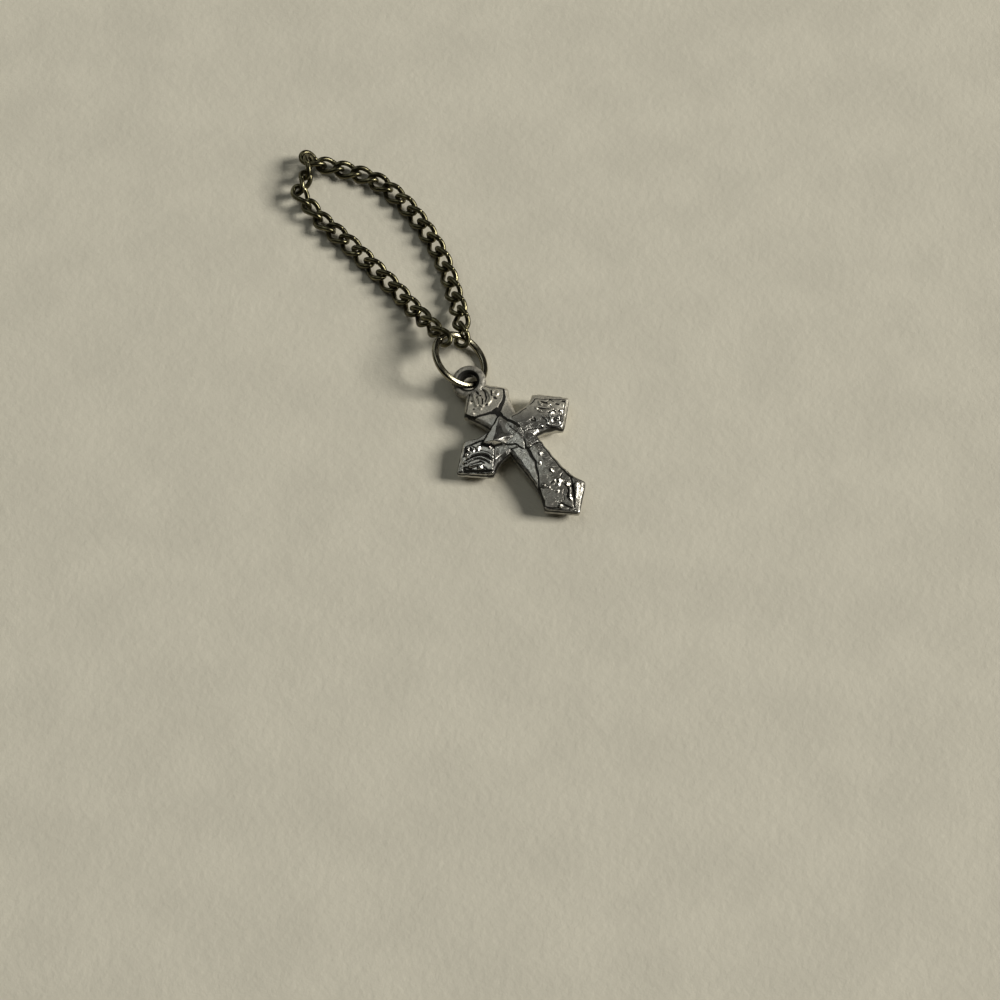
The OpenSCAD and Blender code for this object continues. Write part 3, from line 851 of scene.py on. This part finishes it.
def link_sections(chain):
    """Closed run of sections round a twisted link at the origin, lengthwise along X, in mm."""
    half_l, half_w, wire = in_mm(chain.half_l), in_mm(chain.half_w), in_mm(chain.wire) / 2
    seam_at, seam_wide, seam_deep = math.pi / 2, .05, .05

    def line(t):
        f = chain.twist * math.cos(t)
        return Vector((half_l * math.cos(t), half_w * math.sin(t) * math.cos(f),
                       half_w * math.sin(t) * math.sin(f)))

    angles = sorted([2 * math.pi * k / chain.steps for k in range(chain.steps)]
                    + [seam_at - seam_wide, seam_at + seam_wide])
    rings = []
    for t in angles:
        fine = math.radians(1)
        fore = (line(t + fine) - line(t - fine)).normalized()
        f = chain.twist * math.cos(t)
        rough = Vector((half_w * math.cos(t), half_l * math.sin(t) * math.cos(f),
                        half_l * math.sin(t) * math.sin(f)))
        side = fore.cross(rough).normalized()
        out = side.cross(fore)
        thick = wire - (seam_deep if abs(t - seam_at) < seam_wide * .5 else 0)
        rings.append([line(t) + thick * (math.cos(w) * out + math.sin(w) * side)
                      for w in (2 * math.pi * k / chain.sides for k in range(chain.sides))])
    return rings


def link_place(node):
    """Turn and place of a link, from the principal axes of its solid; a half turn is no change."""
    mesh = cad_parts[node].data
    co = np.zeros(len(mesh.vertices) * 3)
    mesh.vertices.foreach_get("co", co)
    places = np.unique(np.round(co.reshape(-1, 3) / MM, 4), axis=0)
    middle = places.mean(0)
    _, axes = np.linalg.eigh(np.cov((places - middle).T))
    fore, side = Vector(axes[:, 2]), Vector(axes[:, 1])
    up = fore.cross(side)
    turn = Matrix((fore, side, up)).transposed().to_4x4()
    return Matrix.Translation(Vector(middle)) @ turn


class CHARM_OT_chain(bpy.types.Operator):
    """Curb links, each where the model has it"""
    bl_idname = "charm.chain"
    bl_label = "Chain"

    def execute(self, context):
        chain = context.scene.charm_chain
        rings = link_sections(chain)
        points = [p for ring in rings for p in ring]
        faces = tube_faces(len(rings), chain.sides, True)
        material = chain_finish(context.scene.charm_colours)
        for node in LINK_NODES:
            obj = piece_from(f"curb_{node}", points, faces)
            obj.data.transform(Matrix.Scale(MM, 4) @ link_place(node))
            for vertex in obj.data.vertices:
                vertex.co.z = max(vertex.co.z, 0)
            outward(obj)
            finish_piece(obj, material, node)
        return {"FINISHED"}


# Finishes

class Wire:
    """A shader socket that sums can be written with; each operation adds its Math node."""

    def __init__(self, finish, socket):
        self.finish, self.socket = finish, socket

    def _math(self, operation, a, b):
        return self.finish.node("ShaderNodeMath", {"operation": operation}, {0: a, 1: b})

    def __add__(self, other):
        return self._math("ADD", self, other)

    def __radd__(self, other):
        return self._math("ADD", other, self)

    def __sub__(self, other):
        return self._math("SUBTRACT", self, other)

    def __rsub__(self, other):
        return self._math("SUBTRACT", other, self)

    def __mul__(self, other):
        return self._math("MULTIPLY", self, other)

    def __rmul__(self, other):
        return self._math("MULTIPLY", other, self)

    def most(self, other):
        return self._math("MAXIMUM", self, other)

    def step(self, low, high):
        """0 up to low, 1 from high on, smooth between them."""
        return self.finish.node("ShaderNodeMapRange", {"interpolation_type": "SMOOTHSTEP"},
                                {"Value": self, "From Min": low, "From Max": high})


class Finish:
    """One material and the ways to add nodes to it."""

    def __init__(self, name):
        self.material = bpy.data.materials.new(name)
        self.material.use_nodes = True
        self.tree = self.material.node_tree
        self.tree.nodes.clear()

    def node(self, kind, settings=None, values=None, out=0):
        made = self.tree.nodes.new(kind)
        for key, value in (settings or {}).items():
            setattr(made, key, value)
        for key, value in (values or {}).items():
            if isinstance(value, Wire):
                self.tree.links.new(value.socket, made.inputs[key])
            else:
                made.inputs[key].default_value = value
        return Wire(self, made.outputs[out])

    def place(self):
        """Where a point is in the object, in mm."""
        spot = self.node("ShaderNodeTexCoord", out="Object")
        return self.node("ShaderNodeVectorMath", {"operation": "SCALE"},
                         {0: spot, "Scale": 1 / MM})

    def grain(self, place, scale, detail=3.0, rough=.55):
        return self.node("ShaderNodeTexNoise", {}, {"Vector": place, "Scale": scale,
                                                    "Detail": detail, "Roughness": rough})

    def stretch(self, place, x, y, z, turn=(0, 0, 0)):
        return self.node("ShaderNodeMapping", {}, {"Vector": place, "Scale": (x, y, z),
                                                   "Rotation": turn})

    def mask(self, name):
        return self.node("ShaderNodeAttribute", {"attribute_name": name}, out="Fac")

    def mix(self, share, a, b):
        """Colour between a and b."""
        colours = {6: tuple(a) + (1,) if not isinstance(a, Wire) else a,
                   7: tuple(b) + (1,) if not isinstance(b, Wire) else b}
        return self.node("ShaderNodeMix", {"data_type": "RGBA"}, {0: share, **colours}, out=2)

    def bump(self, height, distance, strength):
        return self.node("ShaderNodeBump", {}, {"Height": height, "Distance": distance,
                                                "Strength": strength})

    def surface(self, **sockets):
        """Principled surface; names of sockets with _ for a space."""
        values = {key.replace("_", " "): value for key, value in sockets.items()}
        shader = self.node("ShaderNodeBsdfPrincipled", {}, values)
        end = self.tree.nodes.new("ShaderNodeOutputMaterial")
        self.tree.links.new(shader.socket, end.inputs["Surface"])
        return self.material


def silver_finish(colours):
    """Antique silver plate over a casting: black in recesses, rubbed bright on what stands up; painted
    shade in the eyelet's hole, on the lower bevels and towards the foot, and a painted reflection of
    the floor in the lighter tint to the upper right.
    """
    f = Finish("cast_silver")
    spot = f.place()
    patina_and_shade, rubbed, matte = f.mask("patina_and_shade"), f.mask("rubbed"), f.mask("matte")
    slow, mid, fine = (f.grain(spot, .55, 2.0), f.grain(spot, 2.3, 3.0, .6),
                       f.grain(spot, 6.0, 3.0, .7))
    dull = slow.step(.42, .68) * .4 + mid.step(.44, .62) * .3 + fine.step(.42, .6) * (.3 + .4 * matte)
    scratch = f.grain(f.stretch(spot, .7, 14, 3, (0, 0, .5)), 1.6, 3.0, .5)
    cross_scratch = f.grain(f.stretch(spot, 16, .8, 3, (0, 0, .3)), 1.4, 3.0, .5)
    lines = scratch.step(.58, .66).most(cross_scratch.step(.6, .68))
    specks = f.grain(spot, 3.6, 3.0, .6).step(.62, .7) * .6 * (1 - rubbed)
    # These black blotches also fall where the foot is painted darker as shade.
    blotches = f.mask("dulled_and_shaded") * mid.step(.42, .62) * (.65 - .65 * rubbed)
    black = (patina_and_shade + patina_and_shade * (fine - .5) * .6).step(.12, .8).most(specks).most(blotches)
    # Lighter, warmer tint to the upper right: a painted reflection of the pale floor.
    warm = f.mix(matte, colours.silver, colours.film_and_reflection)
    # Towards the foot this mix is painted shade; elsewhere it gives random dull patches.
    bare = f.mix((dull * (1 - rubbed)).most(f.mask("dulled_and_shaded")), warm, colours.tarnish_and_shade)
    # Black in recesses, and painted shade in the eyelet's hole, on the lower bevels and in blotches
    # towards the foot.
    colour = f.mix(black, bare, colours.patina_and_shade)
    rough = .2 + .15 * fine - .05 * rubbed + .12 * black + .06 * lines + .24 * matte * (1 - rubbed)
    calm = 1 - .65 * rubbed.most(f.mask("kite"))
    pitted = mid * (1.6 + matte + f.mask("dulled_and_shaded"))
    grit = pitted + fine * .7 + f.grain(spot, 22.0, 2.0) * .2 - lines * .3 - specks * .5
    return f.surface(Base_Color=colour, Metallic=1 - .6 * black - .3 * matte * (1 - black),
                     Roughness=rough, Normal=f.bump(grit * calm, .018 * MM, .9))


def ring_finish(colours):
    """Dark polished wire with faint drawing marks and small dull spots."""
    f = Finish("ring_steel")
    spot = f.place()
    slow, fine = f.grain(spot, .9, 3.0), f.grain(spot, 9.0, 3.0)
    dull = slow.step(.45, .7)
    colour = f.mix(dull * .7, colours.ring, tuple(c * .55 for c in colours.ring))
    height = fine * .5 + f.grain(spot, 2.2, 2.0) * .8
    return f.surface(Base_Color=colour, Metallic=1.0, Roughness=.16 + .14 * dull + .08 * fine,
                     Normal=f.bump(height, .012 * MM, .7))


def chain_finish(colours):
    """Brown gunmetal plate, darker in patches, worn brighter in others."""
    f = Finish("chain_steel")
    spot = f.place()
    slow, fine = f.grain(spot, .8, 3.0), f.grain(spot, 8.0, 3.0)
    worn = slow.step(.5, .72)
    colour = f.mix(worn, tuple(c * .6 for c in colours.chain), tuple(c * 1.5 for c in colours.chain))
    height = fine * .6 + f.grain(spot, 2.0, 2.0) * .7
    return f.surface(Base_Color=colour, Metallic=1.0, Roughness=.24 + .1 * fine,
                     Normal=f.bump(height, .014 * MM, .8))


def floor_finish(colours):
    f = Finish("floor")
    spot = f.place()
    mottle = f.grain(spot, .12, 4.0, .6).step(.3, .7)
    colour = f.mix(mottle, tuple(c * .96 for c in colours.floor),
                   tuple(c * 1.04 for c in colours.floor))
    return f.surface(Base_Color=colour, Roughness=.8,
                     Normal=f.bump(f.grain(spot, 1.1, 4.0, .6), .12 * MM, .6))


# Stage

def area_light(name, way, distance, size, power, colour):
    """Square softbox that faces the crossing from the direction way."""
    data = bpy.data.lights.new(name, "AREA")
    data.size, data.energy, data.color = size, power, colour
    light = bpy.data.objects.new(name, data)
    way = Vector(way).normalized()
    light.location = way * distance
    light.rotation_mode = "QUATERNION"
    light.rotation_quaternion = way.to_track_quat("Z", "Y")
    bpy.context.scene.collection.objects.link(light)


class CHARM_OT_stage(bpy.types.Operator):
    """Pale floor, soft light and the camera"""
    bl_idname = "charm.stage"
    bl_label = "Stage"

    def execute(self, context):
        scene, studio = context.scene, context.scene.charm_studio
        half = 2.0                  # of the floor, in metres
        floor = piece_from("floor", [(-half, -half, 0), (half, -half, 0), (half, half, 0),
                                     (-half, half, 0)], [(0, 1, 2, 3)])
        floor.data.materials.append(floor_finish(scene.charm_colours))
        area_light("key", (.66, -.50, .56), 3, 1.05, studio.key, (1, .97, .9))
        area_light("card", (-.03, .9, .43), .6, .5, studio.card, (.97, 1, .95))
        area_light("softbox", (-.18, .35, .92), .6, .36, studio.soft, (.97, 1, .95))
        world = bpy.data.worlds.new("room")
        world.use_nodes = True
        back = world.node_tree.nodes["Background"]
        back.inputs["Color"].default_value = (1, .97, .84, 1)
        back.inputs["Strength"].default_value = studio.world
        scene.world = world
        scene.view_settings.view_transform = "Standard"
        self.camera(scene, studio)
        return {"FINISHED"}

    def camera(self, scene, studio):
        data = bpy.data.cameras.new("camera")
        data.lens_unit, data.sensor_fit = "FOV", "HORIZONTAL"
        data.angle = studio.angle
        data.clip_start, data.clip_end = .01, 10
        camera = bpy.data.objects.new("camera", data)
        a, e = studio.azimuth, studio.elevation
        back = Vector((math.sin(a) * math.cos(e), -math.cos(a) * math.cos(e), math.sin(e)))
        camera.location = Vector((*studio.aim, 0)) + back * studio.distance
        camera.rotation_mode = "QUATERNION"
        camera.rotation_quaternion = back.to_track_quat("Z", "Y")
        scene.collection.objects.link(camera)
        scene.camera = camera


OPERATORS = (CHARM_OT_cross, CHARM_OT_ring, CHARM_OT_chain, CHARM_OT_stage)


class CHARM_PT_panel(bpy.types.Panel):
    """Sizes, colours and makers of the charm"""
    bl_label = "Charm"
    bl_idname = "CHARM_PT_panel"
    bl_space_type = "VIEW_3D"
    bl_region_type = "UI"
    bl_category = "Charm"

    def draw(self, context):
        for operator in OPERATORS:
            self.layout.operator(operator.bl_idname)
        for name, group in GROUPS.items():
            box = self.layout.box()
            for prop in group.__annotations__:
                box.prop(getattr(context.scene, name), prop)


def register():
    for cls in (*GROUPS.values(), *OPERATORS, CHARM_PT_panel):
        bpy.utils.register_class(cls)
    for name, group in GROUPS.items():
        setattr(bpy.types.Scene, name, PointerProperty(type=group))


def unregister():
    for name in GROUPS:
        delattr(bpy.types.Scene, name)
    for cls in reversed((*GROUPS.values(), *OPERATORS, CHARM_PT_panel)):
        bpy.utils.unregister_class(cls)


def main():
    register()
    bpy.ops.charm.stage()
    bpy.ops.charm.cross()
    bpy.ops.charm.ring()
    bpy.ops.charm.chain()


if __name__ == "__main__":
    main()
